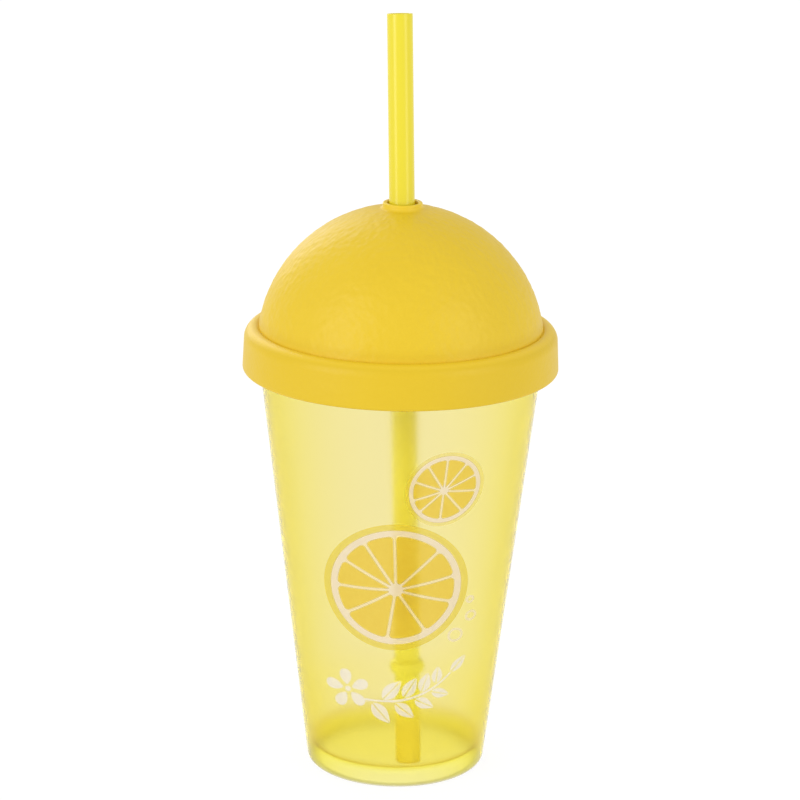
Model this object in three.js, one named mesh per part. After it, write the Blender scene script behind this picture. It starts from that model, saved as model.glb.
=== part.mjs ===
// A reusable drinking tumbler: a flared, see-through cup, a dome lid with a wide collar,
// and a straight straw that leans in the cup and comes out of the lip at the top of the dome.
// Millimetres, +Z up. The origin is the centre of the foot, on the surface the cup stands on.

import * as THREE from 'three';

// Cup: one moulded wall of even thickness, flared at a constant slope
const FOOT_RADIUS = 29.15;
const COLLAR_BOTTOM_Z = 134.8;
const CUP_RADIUS_AT_COLLAR = 45.49;
const CUP_WALL = 2.1;
const FLOOR_TOP_Z = 6.5;
const FLOOR_THICKNESS = 1.9;
const FOOT_FILLET = 2.6;
const RECESS_RADIUS = 25.4;
const RECESS_FILLET = 0.8;
const INNER_FLOOR_FILLET = 1.5;

// Rim of the cup: a flat flange that the lid is pushed onto
const RIM_TOP_Z = 146.2;
const RIM_HEIGHT = 2.6;
const RIM_RADIUS = 48.3;
const RIM_ROUNDING = 0.7;

// Lid: a collar with a round shoulder, a dome that is part of a ball, and a low lip round the straw hole
const LID_WALL = 2.0;
const COLLAR_BOTTOM_RADIUS = 51.1;
const COLLAR_TOP_RADIUS = 50.65;
const COLLAR_TOP_Z = 149.0;
const COLLAR_INNER_RADIUS = 48.7;
const COLLAR_BOTTOM_ROUNDING = 1.0;
const COLLAR_TOP_ROUNDING = 4.0;
const SHELF_DROP = 0.4;
const DOME_CENTRE_Z = 141.9;
const DOME_RADIUS = 46.4;
const LIP_RADIUS = 6.4;
const LIP_TOP_Z = 189.7;
const LIP_ROUNDING = 0.5;
const LIP_FILLET = 1.2;
const STRAW_HOLE_RADIUS = 4.95;

// Straw: a straight tube with a round stopper ring near its lower end
const STRAW_RADIUS = 4.1;
const STRAW_BORE_RADIUS = 3.4;
const STRAW_LENGTH = 243.6;
const STRAW_EDGE_ROUNDING = 0.25;
const STOPPER_UP_THE_STRAW = 32;
const STOPPER_RADIUS = 5.7;
const STOPPER_HEIGHT = 5;
const STRAW_FOOT = new THREE.Vector3(4.3, -22.6, 7.3);
const STRAW_AT_LIP = new THREE.Vector3(-0.24, 0, 189);

// Clearance kept between pieces that touch, how far a facet may cut off a round stretch of profile,
// and facets round each turned piece
const CLEARANCE = 0.3;
const PROFILE_TOLERANCE = 0.05;
const CUP_FACETS = 64;
const LID_FACETS = 64;
const STRAW_FACETS = 32;

const quarterTurn = Math.PI / 2;
const point = (radius, height) => new THREE.Vector2(radius, height);

// Points of a round stretch of profile, from one angle to another about its centre
function arc(radius, height, bend, from, to) {
  const facet = 2 * Math.acos(1 - PROFILE_TOLERANCE / bend);
  const steps = Math.ceil(Math.abs(to - from) / facet);
  const points = [];
  for (let i = 0; i <= steps; i += 1) {
    const angle = from + ((to - from) * i) / steps;
    points.push(point(radius + bend * Math.cos(angle), height + bend * Math.sin(angle)));
  }
  return points;
}

// A closed profile turned about the upright axis
function turned(name, profile, facets, material) {
  const geometry = new THREE.LatheGeometry(profile, facets);
  geometry.rotateX(quarterTurn);
  const mesh = new THREE.Mesh(geometry, material);
  mesh.name = name;
  return mesh;
}

function makeCup() {
  const flare = (CUP_RADIUS_AT_COLLAR - FOOT_RADIUS) / COLLAR_BOTTOM_Z;
  const lean = Math.atan(flare);
  const outerRadius = (height) => FOOT_RADIUS + flare * height;
  const innerRadius = (height) => outerRadius(height) - CUP_WALL / Math.cos(lean);
  const footCentre = outerRadius(FOOT_FILLET) - FOOT_FILLET / Math.cos(lean);
  const floorCentreZ = FLOOR_TOP_Z + INNER_FLOOR_FILLET;
  const floorCentre = innerRadius(floorCentreZ) - INNER_FLOOR_FILLET / Math.cos(lean);
  const recessTopZ = FLOOR_TOP_Z - FLOOR_THICKNESS;
  const recessCentre = RECESS_RADIUS - RECESS_FILLET;
  const rimBottomZ = RIM_TOP_Z - RIM_HEIGHT;
  const rimCentre = RIM_RADIUS - RIM_ROUNDING;
  const profile = [
    point(0, recessTopZ),
    ...arc(recessCentre, recessTopZ - RECESS_FILLET, RECESS_FILLET, quarterTurn, 0),
    point(RECESS_RADIUS, 0),
    ...arc(footCentre, FOOT_FILLET, FOOT_FILLET, -quarterTurn, -lean),
    point(outerRadius(rimBottomZ), rimBottomZ),
    ...arc(rimCentre, rimBottomZ + RIM_ROUNDING, RIM_ROUNDING, -quarterTurn, 0),
    ...arc(rimCentre, RIM_TOP_Z - RIM_ROUNDING, RIM_ROUNDING, 0, quarterTurn),
    point(innerRadius(RIM_TOP_Z), RIM_TOP_Z),
    ...arc(floorCentre, floorCentreZ, INNER_FLOOR_FILLET, -lean, -quarterTurn),
    point(0, FLOOR_TOP_Z),
  ];
  const clearYellow = new THREE.MeshStandardMaterial({
    color: 0xf2e26a,
    roughness: 0.15,
    metalness: 0,
    transparent: true,
    opacity: 0.45,
  });
  return turned('cup', profile, CUP_FACETS, clearYellow);
}

function makeLid() {
  const collarCentre = COLLAR_BOTTOM_RADIUS - COLLAR_BOTTOM_ROUNDING;
  const collarEdgeZ = COLLAR_BOTTOM_Z + COLLAR_BOTTOM_ROUNDING;
  const shelfZ = COLLAR_TOP_Z - SHELF_DROP;
  const shelfEdge = COLLAR_TOP_RADIUS - COLLAR_TOP_ROUNDING;
  const shelfUndersideZ = RIM_TOP_Z + CLEARANCE;
  const boreRadius = DOME_RADIUS - LID_WALL;
  const onDome = (height) => Math.asin((height - DOME_CENTRE_Z) / DOME_RADIUS);
  const filletRadius = LIP_RADIUS + LIP_FILLET;
  const domeTopAngle = Math.acos(filletRadius / (DOME_RADIUS + LIP_FILLET));
  const filletZ = DOME_CENTRE_Z + (DOME_RADIUS + LIP_FILLET) * Math.sin(domeTopAngle);
  const inDome = (height) => Math.asin((height - DOME_CENTRE_Z) / boreRadius);
  const holeAngle = Math.acos(STRAW_HOLE_RADIUS / boreRadius);
  const lipEdgeZ = LIP_TOP_Z - LIP_ROUNDING;
  const profile = [
    point(COLLAR_INNER_RADIUS, COLLAR_BOTTOM_Z),
    ...arc(collarCentre, collarEdgeZ, COLLAR_BOTTOM_ROUNDING, -quarterTurn, 0),
    ...arc(shelfEdge, COLLAR_TOP_Z - COLLAR_TOP_ROUNDING, COLLAR_TOP_ROUNDING, 0, quarterTurn),
    point(shelfEdge - SHELF_DROP, shelfZ),
    ...arc(0, DOME_CENTRE_Z, DOME_RADIUS, onDome(shelfZ), domeTopAngle),
    ...arc(filletRadius, filletZ, LIP_FILLET, domeTopAngle + Math.PI, Math.PI).slice(1),
    ...arc(LIP_RADIUS - LIP_ROUNDING, lipEdgeZ, LIP_ROUNDING, 0, quarterTurn),
    ...arc(STRAW_HOLE_RADIUS + LIP_ROUNDING, lipEdgeZ, LIP_ROUNDING, quarterTurn, Math.PI),
    ...arc(0, DOME_CENTRE_Z, boreRadius, holeAngle, inDome(shelfUndersideZ)),
    point(COLLAR_INNER_RADIUS, shelfUndersideZ),
    point(COLLAR_INNER_RADIUS, COLLAR_BOTTOM_Z),
  ];
  const lemonYellow = new THREE.MeshStandardMaterial({ color: 0xe9c838, roughness: 0.45, metalness: 0 });
  return turned('lid', profile, LID_FACETS, lemonYellow);
}

function makeStraw() {
  const stand = STOPPER_RADIUS - STRAW_RADIUS;
  const half = STOPPER_HEIGHT / 2;
  const ringBend = (half * half + stand * stand) / (2 * stand);
  const ringTurn = Math.asin(half / ringBend);
  const outerEdge = STRAW_RADIUS - STRAW_EDGE_ROUNDING;
  const innerEdge = STRAW_BORE_RADIUS + STRAW_EDGE_ROUNDING;
  const topEdge = STRAW_LENGTH - STRAW_EDGE_ROUNDING;
  const profile = [
    point(innerEdge, 0),
    ...arc(outerEdge, STRAW_EDGE_ROUNDING, STRAW_EDGE_ROUNDING, -quarterTurn, 0),
    ...arc(STOPPER_RADIUS - ringBend, STOPPER_UP_THE_STRAW, ringBend, -ringTurn, ringTurn),
    ...arc(outerEdge, topEdge, STRAW_EDGE_ROUNDING, 0, quarterTurn),
    ...arc(innerEdge, topEdge, STRAW_EDGE_ROUNDING, quarterTurn, Math.PI),
    ...arc(innerEdge, STRAW_EDGE_ROUNDING, STRAW_EDGE_ROUNDING, Math.PI, 3 * quarterTurn),
  ];
  const brightYellow = new THREE.MeshStandardMaterial({ color: 0xf2e23c, roughness: 0.25, metalness: 0 });
  const straw = turned('straw', profile, STRAW_FACETS, brightYellow);
  const lean = new THREE.Group();
  const direction = STRAW_AT_LIP.clone().sub(STRAW_FOOT).normalize();
  lean.position.copy(STRAW_FOOT);
  lean.quaternion.setFromUnitVectors(new THREE.Vector3(0, 0, 1), direction);
  lean.add(straw);
  return lean;
}

const tumbler = new THREE.Group();
tumbler.add(makeCup(), makeLid(), makeStraw());

export default tumbler;
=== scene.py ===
import math

import bpy
from mathutils import Matrix, Vector


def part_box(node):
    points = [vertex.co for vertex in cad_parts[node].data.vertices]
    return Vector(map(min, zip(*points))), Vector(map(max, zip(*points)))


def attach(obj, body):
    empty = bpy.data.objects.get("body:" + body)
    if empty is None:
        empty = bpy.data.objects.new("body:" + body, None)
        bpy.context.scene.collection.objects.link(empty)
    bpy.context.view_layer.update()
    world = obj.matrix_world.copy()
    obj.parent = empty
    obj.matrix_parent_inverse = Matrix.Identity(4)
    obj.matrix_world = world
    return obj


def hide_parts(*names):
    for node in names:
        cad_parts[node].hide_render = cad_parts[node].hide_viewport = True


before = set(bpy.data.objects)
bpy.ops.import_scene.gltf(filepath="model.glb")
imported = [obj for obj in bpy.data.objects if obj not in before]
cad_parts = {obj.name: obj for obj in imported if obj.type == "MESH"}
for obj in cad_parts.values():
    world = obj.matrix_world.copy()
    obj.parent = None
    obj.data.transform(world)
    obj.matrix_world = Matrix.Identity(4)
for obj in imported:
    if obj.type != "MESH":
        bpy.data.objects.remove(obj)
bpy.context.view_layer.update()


# Cup: the see-through beaker, one even wall of hazy yellow plastic that flares up to the mouth.
# It is injection moulded in one shot, with a recessed foot to stand on and a flat flange round
# the mouth, which the lid is pushed down over. Its colour is painted deeper low down and in the floor,
# and amber in the floor's corner, as painted shade, with a thin painted contact shadow at the ground.
MM = 0.001
QUARTER = math.pi / 2

cup_low, cup_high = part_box("cup")
lid_low, lid_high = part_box("lid")
foot_radius = 29.15 * MM
foot_fillet = 2.6 * MM
radius_at_collar = 45.49 * MM
cup_wall = 2.1 * MM
floor_top = 6.5 * MM
floor_thickness = 1.9 * MM
floor_fillet = 1.5 * MM
recess_radius = 25.4 * MM
recess_fillet = 0.8 * MM
rim_height = 2.6 * MM
rim_rounding = 0.7 * MM
cup_facets = 512
smooth_under = math.radians(35)
merge_gap = 0.002 * MM

rim_top = cup_high.z
rim_bottom = rim_top - rim_height
rim_centre = cup_high.x - rim_rounding
flare = (radius_at_collar - foot_radius) / lid_low.z
lean = math.atan(flare)
recess_top = floor_top - floor_thickness


def outer_radius(height):
    """How far the outside of the cup's wall is from the axis."""
    return foot_radius + flare * height


def inner_radius(height):
    """How far the inside of the cup's wall is from the axis."""
    return outer_radius(height) - cup_wall / math.cos(lean)


def arc(radius, height, bend, start, end, step=0.25 * MM):
    """Points of a round stretch of outline, from one angle to another about its centre."""
    count = math.ceil(abs(end - start) * bend / step)
    angles = [start + (end - start) * i / count for i in range(count + 1)]
    return [(radius + bend * math.cos(angle), height + bend * math.sin(angle)) for angle in angles]


def straight(start, end, step=5 * MM):
    """Points between the two ends of a straight stretch of outline, both ends included."""
    start, end = Vector(start), Vector(end)
    count = math.ceil((end - start).length / step)
    return [tuple(start.lerp(end, i / count)) for i in range(count + 1)]


def turned(name, outline, facets):
    """A piece turned about the upright axis: its outline is drawn out of one vertex, then spun."""
    bpy.ops.object.select_all(action="DESELECT")
    bpy.ops.mesh.primitive_plane_add(size=MM)
    piece = bpy.context.object
    piece.name = name
    bpy.ops.object.mode_set(mode="EDIT")
    bpy.ops.mesh.merge(type="CENTER")
    points = [Vector((radius, 0, height)) for radius, height in outline]
    bpy.ops.transform.translate(value=points[0])
    for here, there in zip(points, points[1:]):
        bpy.ops.mesh.extrude_vertices_move(TRANSFORM_OT_translate={"value": there - here})
    bpy.ops.mesh.select_all(action="SELECT")
    bpy.ops.mesh.spin(steps=facets, angle=2 * math.pi, center=(0, 0, 0), axis=(0, 0, 1))
    bpy.ops.mesh.select_all(action="SELECT")
    bpy.ops.mesh.remove_doubles(threshold=merge_gap)
    bpy.ops.mesh.normals_make_consistent(inside=False)
    bpy.ops.object.mode_set(mode="OBJECT")
    bpy.ops.object.shade_smooth_by_angle(angle=smooth_under)
    return piece


class Wire:
    """A value in a material's nodes: sums on it add Math nodes, and node() adds any other node."""

    def __init__(self, material, socket=None):
        self.material = material
        self.tree = material.node_tree
        self.socket = socket

    def node(self, kind, settings, inputs, output=0):
        made = self.tree.nodes.new(kind)
        for name, value in settings.items():
            setattr(made, name, value)
        for name, value in inputs.items():
            if isinstance(value, Wire):
                self.tree.links.new(value.socket, made.inputs[name])
            else:
                made.inputs[name].default_value = value
        return Wire(self.material, made.outputs[output])

    def math(self, operation, first, second=0.0):
        return self.node("ShaderNodeMath", {"operation": operation}, {0: first, 1: second})

    def __add__(self, other):
        return self.math("ADD", self, other)

    def __radd__(self, other):
        return self.math("ADD", other, self)

    def __sub__(self, other):
        return self.math("SUBTRACT", self, other)

    def __rsub__(self, other):
        return self.math("SUBTRACT", other, self)

    def __mul__(self, other):
        return self.math("MULTIPLY", self, other)

    def __rmul__(self, other):
        return self.math("MULTIPLY", other, self)

    def place(self, centre=(0, 0, 0), turn=(0, 0, 0), stretch=(1, 1, 1)):
        """Where a point lies on the piece, in metres, centred, turned and stretched for a pattern."""
        coordinates = self.node("ShaderNodeTexCoord", {}, {}, "Object")
        settings = {"vector_type": "TEXTURE"}
        inputs = {"Vector": coordinates, "Location": centre, "Rotation": turn, "Scale": stretch}
        return self.node("ShaderNodeMapping", settings, inputs)

    def axes(self):
        """The three values of this place, along each of its axes."""
        split = self.node("ShaderNodeSeparateXYZ", {}, {"Vector": self}).socket.node
        return [Wire(self.material, output) for output in split.outputs]

    def ramp(self, start, end):
        """Rises smoothly from 0 where this value is at the start to 1 where it is at the end."""
        settings = {"interpolation_type": "SMOOTHSTEP"}
        inputs = {"Value": self, "From Min": start, "From Max": end}
        return self.node("ShaderNodeMapRange", settings, inputs)

    def noise(self, size, detail=2.0):
        """Cloudy values from 0 to 1 about this place, with patches of that size in metres."""
        inputs = {"Vector": self, "Scale": 1 / size, "Detail": detail}
        return self.node("ShaderNodeTexNoise", {}, inputs, "Fac")

    def between(self, first, second):
        """The colour that lies this share of the way from the first colour to the second."""
        first, second = [end if isinstance(end, Wire) else (*end, 1) for end in (first, second)]
        inputs = {0: self, 6: first, 7: second}
        return self.node("ShaderNodeMix", {"data_type": "RGBA"}, inputs, 2)

    def bump(self, depth, strength=1.0):
        """A surface direction that follows this height, where 1 stands for the depth in metres."""
        inputs = {"Height": self, "Distance": depth, "Strength": strength}
        return self.node("ShaderNodeBump", {}, inputs, "Normal")

    def feed(self, name, node="Principled BSDF"):
        """Joins this value to the named socket of the material's shader, or of its output."""
        self.tree.links.new(self.socket, self.tree.nodes[node].inputs[name])


def finish(name, constants):
    """A new material with what is the same all over set on its shader, ready for its wires."""
    material = bpy.data.materials.new(name)
    material.use_nodes = True
    for socket, value in constants.items():
        material.node_tree.nodes["Principled BSDF"].inputs[socket].default_value = value
    return Wire(material)


foot_centre = outer_radius(foot_fillet) - foot_fillet / math.cos(lean)
floor_fillet_top = floor_top + floor_fillet
floor_centre = inner_radius(floor_fillet_top) - floor_fillet / math.cos(lean)
recess_centre = recess_radius - recess_fillet
foot_curve = arc(foot_centre, foot_fillet, foot_fillet, -QUARTER, -lean)
floor_curve = arc(floor_centre, floor_fillet_top, floor_fillet, -lean, -QUARTER)
cup_outline = [
    *straight((0, recess_top), (recess_centre, recess_top)),
    *arc(recess_centre, recess_top - recess_fillet, recess_fillet, QUARTER, 0),
    (recess_radius, 0),
    *foot_curve,
    *straight(foot_curve[-1], (outer_radius(rim_bottom), rim_bottom)),
    *arc(rim_centre, rim_bottom + rim_rounding, rim_rounding, -QUARTER, 0),
    *arc(rim_centre, rim_top - rim_rounding, rim_rounding, 0, QUARTER),
    *straight((inner_radius(rim_top), rim_top), floor_curve[0]),
    *floor_curve,
    *straight(floor_curve[-1], (0, floor_top)),
]
cup = turned("cup_shell", cup_outline, cup_facets)

wall_pale = (0.925, 0.882, 0.97)
wall_paler = (0.933, 0.892, 0.99)
low_painted_shade = (0.942, 0.884, 0.66)
floor_painted_shade = (0.948, 0.917, 0.73)
corner_painted_shade = (0.72, 0.56, 0.08)
foot_yellow = (0.885, 0.835, 0.98)
ground_shade = (0.45, 0.42, 0.22)
dye = {"Color": (0.99, 0.965, 0.0, 1), "Density": 232.0}
wall_cloud = 45 * MM
deep_bottom = 14 * MM
deep_top = 19 * MM
deep_end = 34 * MM
ground_line = 0.8 * MM
corner_end = floor_fillet_top + floor_fillet
haze = 0.50
haze_change = 0.05
haze_size = 14 * MM
ripple_size = 40 * MM
ripple_depth = 0.02 * MM

hazy_plastic = finish("hazy_yellow_plastic", {
    "Transmission Weight": 1.0,
    "IOR": 1.06,
    "Coat IOR": 1.25,
    "Coat Roughness": 0.08,
})
cup_place = hazy_plastic.place()
cup_x, cup_y, cup_z = cup_place.axes()
off_axis = cup_place.math("SQRT", cup_x * cup_x + cup_y * cup_y)
outside = cup_place.math("GREATER_THAN", off_axis, (foot_radius - cup_wall / 2) + flare * cup_z)
outside.feed("Coat Weight")
# Painted shade: the inside of the wall is painted deeper yellow low down and across the floor.
in_floor = cup_place.math("LESS_THAN", cup_z, floor_top + floor_fillet / 2) * (1.0 - outside)
low_down = cup_z.ramp(deep_end, deep_top) * cup_z.ramp(floor_top, deep_bottom) * (1.0 - outside)
# Painted shade: the corner where the floor meets the wall is painted amber.
in_corner = cup_place.math("GREATER_THAN", off_axis, floor_centre) * (1.0 - outside)
in_corner = in_corner * cup_z.ramp(recess_top, floor_top) * cup_z.ramp(corner_end, floor_top)
at_foot = cup_z.ramp(floor_top, recess_top) * outside
on_ground = cup_z.ramp(ground_line, ground_line / 4)
wall_colour = cup_place.noise(wall_cloud).between(wall_pale, wall_paler)
low_colour = low_down.between(wall_colour, low_painted_shade)
floor_colour = in_floor.between(low_colour, floor_painted_shade)
corner_colour = in_corner.between(floor_colour, corner_painted_shade)
foot_colour = at_foot.between(corner_colour, foot_yellow)
on_ground.between(foot_colour, ground_shade).feed("Base Color")
(haze + haze_change * cup_place.noise(haze_size)).feed("Roughness")
cup_place.noise(ripple_size).bump(ripple_depth).feed("Normal")
hazy_plastic.node("ShaderNodeVolumeAbsorption", {}, dye).feed("Volume", "Material Output")
cup.data.materials.append(hazy_plastic.material)
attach(cup, "root")
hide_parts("cup")


# Printed citrus slices: a large slice low on the front of the cup and a small one up to its right.
# They are screen printed on the outside of the wall: yellow ink for the rind and the juicy segments,
# and white ink between them for the pith and the skins. Both inks let some light through.
ink_lift = 0.05 * MM
art_plane = cup_low.y - 10 * MM
art_strip = 1.2 * MM
art_band = 8 * MM
art_step = 0.5 * MM
fine_step = 0.15 * MM
smallest_tip = 0.15 * MM


def art_circle(radius, step=art_step):
    """Points of a circle about the origin of a drawing."""
    count = math.ceil(2 * math.pi * radius / step)
    angles = [i * 2 * math.pi / count for i in range(count)]
    return [(radius * math.cos(angle), radius * math.sin(angle)) for angle in angles]


def art_placed(outline, centre, turn=0.0, stretch=(1.0, 1.0)):
    """An outline stretched, turned and moved to its place on the front of the cup."""
    cosine, sine = math.cos(turn), math.sin(turn)
    placed = []
    for across, up in outline:
        across, up = across * stretch[0], up * stretch[1]
        placed.append((centre[0] + across * cosine - up * sine, centre[1] + across * sine + up * cosine))
    return placed


def printed(name, outlines, ink):
    """Ink on the front of the cup: flat outlines are filled, cut into strips and laid on the wall."""
    drawing = bpy.data.curves.new(name, "CURVE")
    drawing.dimensions = "2D"
    drawing.fill_mode = "BOTH"
    for outline in outlines:
        spline = drawing.splines.new("POLY")
        spline.points.add(len(outline) - 1)
        for point, (across, up) in zip(spline.points, outline):
            point.co = (across, up, 0, 1)
        spline.use_cyclic_u = True
    piece = bpy.data.objects.new(name, drawing)
    bpy.context.collection.objects.link(piece)
    bpy.ops.object.select_all(action="DESELECT")
    piece.select_set(True)
    bpy.context.view_layer.objects.active = piece
    bpy.ops.object.convert(target="MESH")
    piece.rotation_euler.x = QUARTER
    piece.location.y = art_plane
    bpy.ops.object.transform_apply(location=True, rotation=True)
    lowest = [min(corner[axis] for corner in piece.bound_box) for axis in range(3)]
    highest = [max(corner[axis] for corner in piece.bound_box) for axis in range(3)]
    bpy.ops.object.mode_set(mode="EDIT")
    for axis, spacing in ((0, art_strip), (2, art_band)):
        first = math.ceil(lowest[axis] / spacing)
        last = math.floor(highest[axis] / spacing)
        facing = Vector((0, 0, 0))
        facing[axis] = 1
        for cut in range(first, last + 1):
            bpy.ops.mesh.select_all(action="SELECT")
            bpy.ops.mesh.bisect(plane_co=facing * cut * spacing, plane_no=facing)
    bpy.ops.mesh.select_all(action="SELECT")
    bpy.ops.mesh.remove_doubles(threshold=merge_gap)
    bpy.ops.mesh.quads_convert_to_tris(quad_method="BEAUTY", ngon_method="BEAUTY")
    bpy.ops.object.mode_set(mode="OBJECT")
    wrap = piece.modifiers.new("wrap", "SHRINKWRAP")
    wrap.target = cup
    wrap.wrap_method = "PROJECT"
    wrap.wrap_mode = "ABOVE_SURFACE"
    wrap.use_project_y = True
    wrap.use_positive_direction = True
    wrap.offset = ink_lift
    bpy.ops.object.modifier_apply(modifier=wrap.name)
    bpy.ops.object.shade_smooth()
    piece.data.materials.append(ink.material)
    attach(piece, "root")
    return piece


def segment(hub, start, end, reach, skin, hub_radius, corner):
    """One juicy segment of a round slice: a wedge with skins beside it, a round tip and round corners."""
    middle = (start + end) / 2
    outward = Vector((math.cos(middle), math.sin(middle)))
    half_sine = math.sin((end - start) / 2)
    tip_rounding = max(smallest_tip, (hub_radius * half_sine - skin / 2) / (1 - half_sine))
    tip = Vector(hub) + outward * (skin / 2 + tip_rounding) / half_sine
    base = Vector(hub) + outward * (skin / 2 + corner) / half_sine
    corners = []
    for angle in (start, end):
        along = Vector((math.cos(angle), math.sin(angle)))
        half = base.dot(along)
        room = half * half - base.length_squared + (reach - corner) ** 2
        corners.append(base + along * (math.sqrt(room) - half))
    right = math.atan2(corners[0].y, corners[0].x)
    left = right + (math.atan2(corners[1].y, corners[1].x) - right) % (2 * math.pi)
    right_start = right - (right - (start - QUARTER)) % (2 * math.pi)
    left_end = left + ((end + QUARTER) - left) % (2 * math.pi)
    return [
        *arc(tip.x, tip.y, tip_rounding, end + QUARTER, start + 3 * QUARTER, fine_step),
        *arc(corners[0].x, corners[0].y, corner, right_start, right, fine_step),
        *arc(0, 0, reach, right, left, art_step),
        *arc(corners[1].x, corners[1].y, corner, left, left_end, fine_step),
    ]


yellow_ink_clearness = 0.65
white_ink_clearness = 0.5
ink_bend = 1.05
sac_turn = 2.2
sac_spacing = 260.0
sac_scale = 2.6
sac_detail = 3.0
sac_share = 0.65
speckle_size = 0.7 * MM
juice_sheen = 0.35
ink_sheen = 0.4
ink_sheen_change = 0.15
ink_sheen_size = 1 * MM
line_cloud = 2 * MM
pith_cloud = 3 * MM
thin_reach = 0.95
thin_hub = 1.6
rind_pale = (0.78, 0.635, 0.115)
rind_deep = (0.74, 0.58, 0.085)
juice_pale = (0.82, 0.605, 0.10)
juice_deep = (0.76, 0.51, 0.065)
pith_deep = (0.79, 0.68, 0.61)
pith_pale = (0.84, 0.73, 0.66)
skin_cream = (0.845, 0.712, 0.49)
line_brown = (0.56, 0.40, 0.15)
line_tan = (0.62, 0.46, 0.19)


def yellow_ink(name, pale, deep, centre, cover):
    """Yellow ink that glows, with a grain of juice sacs that run out from the middle of a slice."""
    clear = {"Alpha": cover, "Transmission Weight": yellow_ink_clearness, "IOR": ink_bend}
    ink = finish(name, clear)
    spot = ink.place(centre=centre)
    across, _, up = spot.axes()
    angle = ink.math("ARCTAN2", up, across)
    distance = ink.math("SQRT", across * across + up * up)
    sacs = {"X": sac_turn * angle, "Y": sac_spacing * distance, "Z": 0.0}
    polar = ink.node("ShaderNodeCombineXYZ", {}, sacs)
    sac_noise = {"Vector": polar, "Scale": sac_scale, "Detail": sac_detail}
    grain = ink.node("ShaderNodeTexNoise", {}, sac_noise, "Fac")
    speckle = spot.noise(speckle_size)
    (sac_share * grain + (1 - sac_share) * speckle).between(pale, deep).feed("Base Color")
    (juice_sheen + ink_sheen_change * speckle).feed("Roughness")
    return ink


def pith_ink(name, centre, reach, hub_radius):
    """White ink for the pith and the hub, which looks yellower in the skins, where it is thin."""
    ink = finish(name, {"Transmission Weight": white_ink_clearness, "IOR": ink_bend})
    spot = ink.place(centre=centre)
    across, _, up = spot.axes()
    distance = ink.math("SQRT", across * across + up * up)
    in_reach = distance.ramp(reach, thin_reach * reach)
    thin = in_reach * distance.ramp(hub_radius, thin_hub * hub_radius)
    white = spot.noise(pith_cloud).between(pith_deep, pith_pale)
    thin.between(white, skin_cream).feed("Base Color")
    (ink_sheen + ink_sheen_change * spot.noise(ink_sheen_size)).feed("Roughness")
    return ink


def plain_ink(name, constants, cloud, deep, pale):
    """One flat ink with faint clouds of that size between two shades."""
    ink = finish(name, constants)
    spot = ink.place()
    spot.noise(cloud).between(deep, pale).feed("Base Color")
    (ink_sheen + ink_sheen_change * spot.noise(ink_sheen_size)).feed("Roughness")
    return ink


line_constants = {"Alpha": 0.55, "Specular IOR Level": 0.3}
line_ink = plain_ink("overprint_line_ink", line_constants, line_cloud, line_brown, line_tan)

slices = [
    {
        "name": "large_slice",
        "centre": (-0.49 * MM, 72.67 * MM),
        "radii": (22.99 * MM, 22.14 * MM),
        "tilt": 2,
        "rind": 2.15 * MM,
        "pith": 2.05 * MM,
        "hub": (0.0 * MM, -0.75 * MM),
        "skins": (-148, -98, -58, -17, 12, 45, 92, 122, 150, 180),
        "skin": 0.68 * MM,
        "hub_radius": 2.2 * MM,
        "corner": 1.35 * MM,
        "line": 0.24 * MM,
        "rind_cover": 0.85,
    },
    {
        "name": "small_slice",
        "centre": (14.46 * MM, 106.25 * MM),
        "radii": (12.97 * MM, 11.99 * MM),
        "tilt": 48,
        "rind": 1.15 * MM,
        "pith": 1.3 * MM,
        "hub": (-0.25 * MM, -0.5 * MM),
        "skins": (-166, -139, -94, -52, -9, 21, 50, 86, 121, 157),
        "skin": 0.5 * MM,
        "hub_radius": 1.25 * MM,
        "corner": 0.7 * MM,
        "line": 0.2 * MM,
        "rind_cover": 0.4,
    },
]
for fruit in slices:
    tilt = math.radians(fruit["tilt"])
    line = fruit["line"]
    wide, tall = fruit["radii"]
    peel_edge = math.sqrt(wide * tall)
    pith_edge = peel_edge - fruit["rind"]
    reach = pith_edge - fruit["pith"]
    flat_hub = Matrix.Rotation(-tilt, 2) @ Vector(fruit["hub"])
    turns = [math.radians(angle) - tilt for angle in fruit["skins"]]
    stretch = (wide / peel_edge, tall / peel_edge)
    place = {"centre": fruit["centre"], "turn": tilt, "stretch": stretch}
    holes = []
    juice = []
    for start, end in zip(turns, turns[1:] + [turns[0] + 2 * math.pi]):
        skin, hub_radius, corner = fruit["skin"], fruit["hub_radius"], fruit["corner"]
        hole = segment(flat_hub, start, end, reach, skin, hub_radius, corner)
        holes.append(art_placed(hole, **place))
        skin, hub_radius, corner = skin + 2 * line, hub_radius + line, corner - line
        filling = segment(flat_hub, start, end, reach - line, skin, hub_radius, corner)
        juice.append(art_placed(filling, **place))
    rim_radii = (peel_edge, pith_edge + line / 2, pith_edge - line / 2)
    rim = [art_placed(art_circle(radius), **place) for radius in rim_radii]
    middle = (fruit["centre"][0], 0, fruit["centre"][1])
    rind_name, juice_name, lines_name, pith_name = [
        fruit["name"] + "_" + layer for layer in ("rind", "juice", "lines", "pith")
    ]
    rind_ink = yellow_ink(rind_name + "_ink", rind_pale, rind_deep, middle, fruit["rind_cover"])
    juice_ink = yellow_ink(juice_name + "_ink", juice_pale, juice_deep, middle, 1.0)
    white_ink = pith_ink(pith_name + "_ink", middle, reach, fruit["hub_radius"])
    printed(rind_name, rim[:2], rind_ink)
    printed(juice_name, juice, juice_ink)
    printed(lines_name, rim[1:] + holes + juice, line_ink)
    printed(pith_name, rim[2:] + holes, white_ink)


# Printed bubbles: three thin rings that rise from the sprig beside the large slice.
# They are printed in the same pass as the pith, in a thin coat of the white ink.
bubbles = [
    ((18.75 * MM, 54.34 * MM), 2.5 * MM),
    ((23.64 * MM, 60.13 * MM), 1.9 * MM),
    ((23.31 * MM, 66.03 * MM), 1.4 * MM),
]
bubble_line = 0.8 * MM
round_step = 0.2 * MM
bubble_cloud = 2 * MM
bubble_deep = (0.74, 0.61, 0.52)
bubble_pale = (0.78, 0.65, 0.57)

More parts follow.
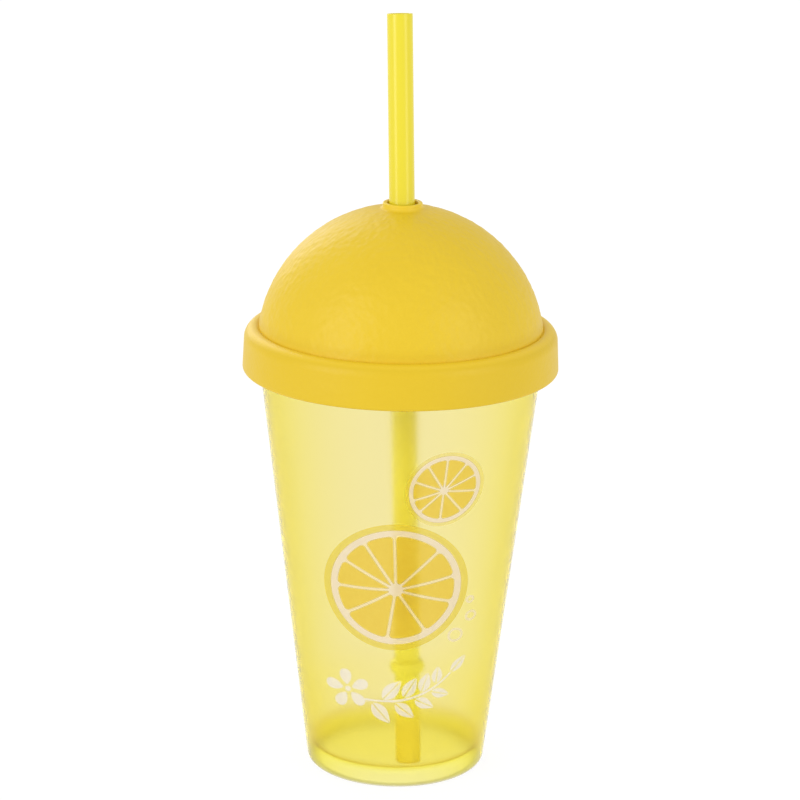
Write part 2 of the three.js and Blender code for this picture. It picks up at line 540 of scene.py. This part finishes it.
bubble_outlines = []
for centre, radius in bubbles:
    for ring in (radius, radius - bubble_line):
        bubble_outlines.append(art_placed(art_circle(ring, round_step), centre))
bubble_constants = {"Alpha": 0.45, "Specular IOR Level": 0.3}
bubble_ink = plain_ink("thin_white_ink", bubble_constants, bubble_cloud, bubble_deep, bubble_pale)
bubble_rings = printed("bubbles", bubble_outlines, bubble_ink)


# Printed sprig: a leafy twig with a blossom, under the large slice.
# It is screen printed in the same white ink as the pith, with the leaf ribs left bare.
twig_start = Vector((-10.0, 32.0)) * MM
twig_bend = Vector((8.0, 30.5)) * MM
twig_end = Vector((17.5, 41.0)) * MM
twig_width = 1.1 * MM
twig_taper = 0.5
twig_steps = 20
leaf_rib = 0.45 * MM
leaf_gap = 0.35 * MM
leaf_steps = 24
leaf_fullness = 0.8
leaf_spread = math.radians(48)
leaf_pairs = (0.12, 0.34, 0.55, 0.75)
leaf_stagger = 0.05
leaf_length = 8.8 * MM
leaf_shortening = 1.0 * MM
leaf_width = 4.7 * MM
leaf_narrowing = 0.4 * MM
end_leaf_length = 6.5 * MM
end_leaf_width = 3.2 * MM
blossom_centre = Vector((-15.5, 35.0)) * MM
blossom_turn = math.radians(100)
blossom_heart = 0.95 * MM
petal_length = 5.6 * MM
petal_width = 4.6 * MM
petal_start = 1.5 * MM
petal_count = 5
petal_steps = 32
petal_taper = 0.35
sprig_cloud = 6 * MM
sprig_deep = (0.81, 0.77, 0.81)
sprig_pale = (0.85, 0.82, 0.86)


def on_twig(share):
    """The point that lies this share of the way along the twig, and the direction there."""
    first = twig_start.lerp(twig_bend, share)
    second = twig_bend.lerp(twig_end, share)
    return first.lerp(second, share), (second - first).normalized()


def half_leaf(base, turn, length, width, side):
    """One half of a pointed leaf, beside its rib."""
    outline = []
    for i in range(leaf_steps + 1):
        share = i / leaf_steps
        swell = math.sin(math.pi * share ** leaf_fullness)
        outline.append((length * share, side * (leaf_rib / 2 + (width - leaf_rib) / 2 * swell)))
    outline.append((length, side * leaf_rib / 4))
    outline.append((0, side * leaf_rib / 2))
    return art_placed(outline, base, turn)


twig_sides = {1: [], -1: []}
for i in range(twig_steps + 1):
    point, along = on_twig(i / twig_steps)
    for side, twig_edge in twig_sides.items():
        half = side * twig_width / 2 * (1 - twig_taper * i / twig_steps)
        twig_edge.append((point.x - along.y * half, point.y + along.x * half))
sprig_outlines = [twig_sides[1] + twig_sides[-1][::-1]]
for i, share in enumerate(leaf_pairs):
    for side in (1, -1):
        point, along = on_twig(share + leaf_stagger * side)
        away = Vector((-along.y, along.x)) * side
        base = point + away * (twig_width / 2 + leaf_gap)
        turn = math.atan2(along.y, along.x) + side * leaf_spread
        length = leaf_length - i * leaf_shortening
        width = leaf_width - i * leaf_narrowing
        for half in (1, -1):
            sprig_outlines.append(half_leaf(base, turn, length, width, half))
point, along = on_twig(1.0)
base = point + along * leaf_gap
turn = math.atan2(along.y, along.x)
for half in (1, -1):
    sprig_outlines.append(half_leaf(base, turn, end_leaf_length, end_leaf_width, half))

petal = []
for i in range(petal_steps):
    around = 2 * math.pi * i / petal_steps
    share = (1 - math.cos(around)) / 2
    half = petal_width / 2 * math.sin(around) * share ** petal_taper
    petal.append((petal_start + petal_length * share, half))
for i in range(petal_count):
    turn = blossom_turn + i * 2 * math.pi / petal_count
    sprig_outlines.append(art_placed(petal, blossom_centre, turn))
sprig_outlines.append(art_placed(art_circle(blossom_heart, round_step), blossom_centre))
sprig_constants = {"Transmission Weight": white_ink_clearness, "IOR": ink_bend}
sprig_ink = plain_ink("sprig_white_ink", sprig_constants, sprig_cloud, sprig_deep, sprig_pale)
sprig = printed("sprig", sprig_outlines, sprig_ink)


# Straw: a stiff tube of bright yellow plastic with a round stopper ring near its foot.
# It is extruded and the ring is moulded on. It only leans in the cup: its foot is in the front of the
# floor and it comes out through the lip of the lid. Inside the cup it is painted paler, as painted light,
# and near the floor it is painted deeper, as painted shade.
straw_radius = 4.1 * MM
straw_bore = 3.4 * MM
straw_length = 243.6 * MM
straw_edge = 0.25 * MM
stopper_up = 32 * MM
stopper_radius = 5.7 * MM
stopper_height = 5 * MM
straw_foot = Vector((4.3, -22.6, 7.3)) * MM
straw_at_lip = Vector((-0.24, 0, 189)) * MM
straw_facets = 96
straw_edge_step = 0.1 * MM

stand = stopper_radius - straw_radius
ring_bend = ((stopper_height / 2) ** 2 + stand ** 2) / (2 * stand)
ring_turn = math.asin(stopper_height / 2 / ring_bend)
ring_curve = arc(stopper_radius - ring_bend, stopper_up, ring_bend, -ring_turn, ring_turn)
outside_edge = straw_radius - straw_edge
inside_edge = straw_bore + straw_edge
top_edge = straw_length - straw_edge
straw_outline = [
    (inside_edge, 0),
    *arc(outside_edge, straw_edge, straw_edge, -QUARTER, 0, straw_edge_step),
    *ring_curve,
    *straight((straw_radius, stopper_up + stopper_height), (straw_radius, top_edge)),
    *arc(outside_edge, top_edge, straw_edge, 0, QUARTER, straw_edge_step)[1:],
    *arc(inside_edge, top_edge, straw_edge, QUARTER, math.pi, straw_edge_step),
    *straight((straw_bore, top_edge), (straw_bore, straw_edge)),
    *arc(inside_edge, straw_edge, straw_edge, math.pi, 3 * QUARTER, straw_edge_step)[1:],
]
straw = turned("straw_tube", straw_outline, straw_facets)
straw_turn = Vector((0, 0, 1)).rotation_difference(straw_at_lip - straw_foot)
straw.rotation_euler = straw_turn.to_euler()
straw.location = straw_foot
bpy.ops.object.transform_apply(location=True, rotation=True)

glow_blend = 10 * MM
floor_shade_start = 32 * MM
floor_shade_end = 18 * MM
straw_stretch = (1, 1, 20)
straw_cloud = 3 * MM
straw_deep = (0.74, 0.625, 0.016)
straw_bright = (0.78, 0.665, 0.026)
painted_light_pale = (0.95, 0.93, 0.12)
painted_light_paler = (0.98, 0.97, 0.15)
straw_foot_painted_shade = (0.88, 0.77, 0.08)
straw_sheen = 0.22
straw_sheen_change = 0.08
straw_sheen_size = 2 * MM
drawn_size = 1.2 * MM
drawn_depth = 0.02 * MM

straw_plastic = finish("bright_yellow_plastic", {"Specular IOR Level": 0.5})
straw_place = straw_plastic.place(straw_foot, straw_turn.to_euler(), straw_stretch)
straw_grain = straw_place.noise(straw_cloud)
above_lid = straw_grain.between(straw_deep, straw_bright)
# Painted light: below the lip, inside the cup, the straw is painted paler than above the lid.
in_cup_painted_light = straw_grain.between(painted_light_pale, painted_light_paler)
straw_height = straw_plastic.place().axes()[2]
below_lip = straw_height.ramp(lid_high.z, lid_high.z - glow_blend)
# Painted shade: near the floor the straw is painted deeper.
near_floor = straw_height.ramp(floor_shade_start, floor_shade_end)
straw_colour = below_lip.between(above_lid, in_cup_painted_light)
near_floor.between(straw_colour, straw_foot_painted_shade).feed("Base Color")
(straw_sheen + straw_sheen_change * straw_place.noise(straw_sheen_size)).feed("Roughness")
straw_place.noise(drawn_size).bump(drawn_depth).feed("Normal")
straw.data.materials.append(straw_plastic.material)
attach(straw, "root")
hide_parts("straw")


# Lid: an opaque yellow cap with a round-shouldered collar and a dome like half a citrus fruit.
# It is injection moulded in one piece: the dome has the fine pitted peel of the fruit in its surface,
# the collar and the low lip round the straw hole are smooth. The collar is pushed over the cup's rim.
lid_wall = 2.0 * MM
collar_top_radius = 50.65 * MM
collar_top = 149.0 * MM
collar_inside = 48.7 * MM
collar_bottom_rounding = 1.0 * MM
collar_top_rounding = 4.0 * MM
shelf_drop = 0.4 * MM
rim_clearance = 0.3 * MM
dome_centre = 141.9 * MM
dome_radius = 46.4 * MM
lip_radius = 6.4 * MM
lip_rounding = 0.5 * MM
lip_fillet = 1.2 * MM
straw_hole = 4.95 * MM
peel_step = 0.62 * MM
inside_step = 4 * MM
lid_facets = 440

shelf = collar_top - shelf_drop
shelf_edge = collar_top_radius - collar_top_rounding
shelf_underside = rim_top + rim_clearance
dome_inside = dome_radius - lid_wall
lip_edge = lid_high.z - lip_rounding
collar_curve = arc(
    lid_high.x - collar_bottom_rounding, lid_low.z + collar_bottom_rounding,
    collar_bottom_rounding, -QUARTER, 0,
)
shelf_curve = arc(shelf_edge, collar_top - collar_top_rounding, collar_top_rounding, 0, QUARTER)
dome_start = math.asin((shelf - dome_centre) / dome_radius)
fillet_radius = lip_radius + lip_fillet
dome_end = math.acos(fillet_radius / (dome_radius + lip_fillet))
fillet_height = dome_centre + (dome_radius + lip_fillet) * math.sin(dome_end)
inside_start = math.acos(straw_hole / dome_inside)
inside_end = math.asin((shelf_underside - dome_centre) / dome_inside)
lid_outline = [
    (collar_inside, lid_low.z),
    *collar_curve,
    *straight(collar_curve[-1], shelf_curve[0])[1:-1],
    *shelf_curve,
    *arc(0, dome_centre, dome_radius, dome_start, dome_end, peel_step),
    *arc(fillet_radius, fillet_height, lip_fillet, dome_end + math.pi, math.pi)[1:],
    *arc(lip_radius - lip_rounding, lip_edge, lip_rounding, 0, QUARTER),
    *arc(straw_hole + lip_rounding, lip_edge, lip_rounding, QUARTER, math.pi),
    *arc(0, dome_centre, dome_inside, inside_start, inside_end, inside_step),
    (collar_inside, shelf_underside),
    (collar_inside, lid_low.z),
]
lid = turned("lid_shell", lid_outline, lid_facets)

peel_fade = 2.5 * MM
peel_reach = 0.1 * MM
pit_size = 2.0 * MM
pit_depth = 0.26 * MM
wave_size = 4.5 * MM
wave_depth = 0.12 * MM
peel = lid.vertex_groups.new(name="peel")
for vertex in lid.data.vertices:
    from_axis = math.hypot(vertex.co.x, vertex.co.y)
    from_centre = math.hypot(from_axis, vertex.co.z - dome_centre)
    if abs(from_centre - dome_radius) < peel_reach:
        room = min(vertex.co.z - shelf, from_axis - fillet_radius)
        peel.add([vertex.index], min(1.0, max(0.0, room / peel_fade)), "REPLACE")


def pitted(piece, name, kind, size, depth):
    """Moves the peel in and out along its surface by a fixed pattern of that size."""
    pattern = bpy.data.textures.new(name, kind)
    pattern.noise_scale = size
    dent = piece.modifiers.new(name, "DISPLACE")
    dent.texture = pattern
    dent.texture_coords = "LOCAL"
    dent.vertex_group = "peel"
    dent.strength = depth
    dent.mid_level = 0.5
    bpy.ops.object.modifier_apply(modifier=dent.name)


pitted(lid, "peel_pits", "VORONOI", pit_size, pit_depth)
pitted(lid, "peel_waves", "CLOUDS", wave_size, wave_depth)

lid_cloud_size = 18 * MM
lid_grain_size = 2.2 * MM
lid_cloud_share = 0.6
dome_deep = (0.70, 0.474, 0.010)
dome_bright = (0.755, 0.527, 0.018)
collar_shaded_deep = (0.675, 0.452, 0.006)
collar_shaded_bright = (0.715, 0.492, 0.011)
crease_painted_light = (0.775, 0.535, 0.018)
lip_painted_light = (0.795, 0.565, 0.022)
lid_sheen = 0.39
lid_sheen_change = 0.12
lid_sheen_size = 1.5 * MM
pore_size = 1.1 * MM
pore_detail = 3.0
pore_depth = 0.11 * MM

lid_plastic = finish("lemon_yellow_plastic", {"Specular IOR Level": 0.36})
lid_place = lid_plastic.place()
lid_height = lid_place.axes()[2]
lid_grain = (1 - lid_cloud_share) * lid_place.noise(lid_grain_size)
lid_cloud = lid_cloud_share * lid_place.noise(lid_cloud_size) + lid_grain
dome_colour = lid_cloud.between(dome_deep, dome_bright)
# Painted shade: the collar is painted deeper than the dome, though it is the same plastic.
shaded_collar_colour = lid_cloud.between(collar_shaded_deep, collar_shaded_bright)
on_dome = lid_height.ramp(collar_top, collar_top + 2 * peel_fade)
# Painted light: the crease between the dome and the collar is painted paler, against its own shade.
in_crease = lid_height.ramp(shelf - peel_fade / 2, shelf) * lid_height.ramp(shelf + peel_fade, shelf)
# Painted light: the lip round the straw hole is painted paler than the dome.
on_lip = lid_height.ramp(fillet_height - lip_fillet, fillet_height)
lid_colour = on_dome.between(shaded_collar_colour, dome_colour)
lid_colour = in_crease.between(lid_colour, crease_painted_light)
on_lip.between(lid_colour, lip_painted_light).feed("Base Color")
(lid_sheen + lid_sheen_change * lid_place.noise(lid_sheen_size)).feed("Roughness")
lid_place.noise(pore_size, pore_detail).bump(pore_depth).feed("Normal")
lid.data.materials.append(lid_plastic.material)
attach(lid, "root")
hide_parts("lid")


# Studio: a plain white floor, white light from all round, a large soft lamp from the front left,
# weaker ones from the right and from behind, and the camera in front of the print, a little above it.
floor_size = 12
paper_cloud = 30 * MM
paper_grey = (0.11, 0.11, 0.11)
paper_light = (0.13, 0.13, 0.13)
sky_strength = 0.8

bpy.ops.mesh.primitive_plane_add(size=floor_size)
floor = bpy.context.object
floor.name = "floor"
floor_paper = finish("white_table", {
    "Specular IOR Level": 0.0,
    "Roughness": 0.9,
    "Emission Color": (1, 1, 1, 1),
    "Emission Strength": 0.91,
})
floor_paper.place().noise(paper_cloud).between(paper_grey, paper_light).feed("Base Color")
floor.data.materials.append(floor_paper.material)

world = bpy.data.worlds.new("studio_white")
world.use_nodes = True
sky = world.node_tree.nodes["Background"]
sky.inputs["Color"].default_value = (1, 1, 1, 1)
sky.inputs["Strength"].default_value = sky_strength
bpy.context.scene.world = world
bpy.context.scene.view_settings.view_transform = "Standard"

object_middle = Vector((0, 0, 0.1))
lamps = [
    ("key", Vector((-1.2, -1.0, 0.68)), 9.0),
    ("fill", Vector((1.2, -0.9, 0.68)), 5.5),
    ("back", Vector((-0.7, 1.4, 0.85)), 5.5),
]
lamp_width = 0.6
lamp_height = 1.3
for lamp_name, lamp_place, power in lamps:
    bpy.ops.object.light_add(type="AREA", location=lamp_place)
    lamp = bpy.context.object
    lamp.name = lamp_name
    lamp.data.shape = "RECTANGLE"
    lamp.data.size = lamp_width
    lamp.data.size_y = lamp_height
    lamp.data.energy = power
    lamp.rotation_euler = (object_middle - lamp_place).to_track_quat("-Z", "Y").to_euler()

camera_place = Vector((0, -1.0, 0.4155))
camera_down = math.radians(16.26)
camera_roll = math.radians(0.80)
focal_length = 144.3
bpy.ops.object.camera_add(location=camera_place)
camera = bpy.context.object
camera.data.lens = focal_length
camera_turn = Matrix.Rotation(QUARTER - camera_down, 3, "X") @ Matrix.Rotation(camera_roll, 3, "Z")
camera.rotation_euler = camera_turn.to_euler()
bpy.context.scene.camera = camera
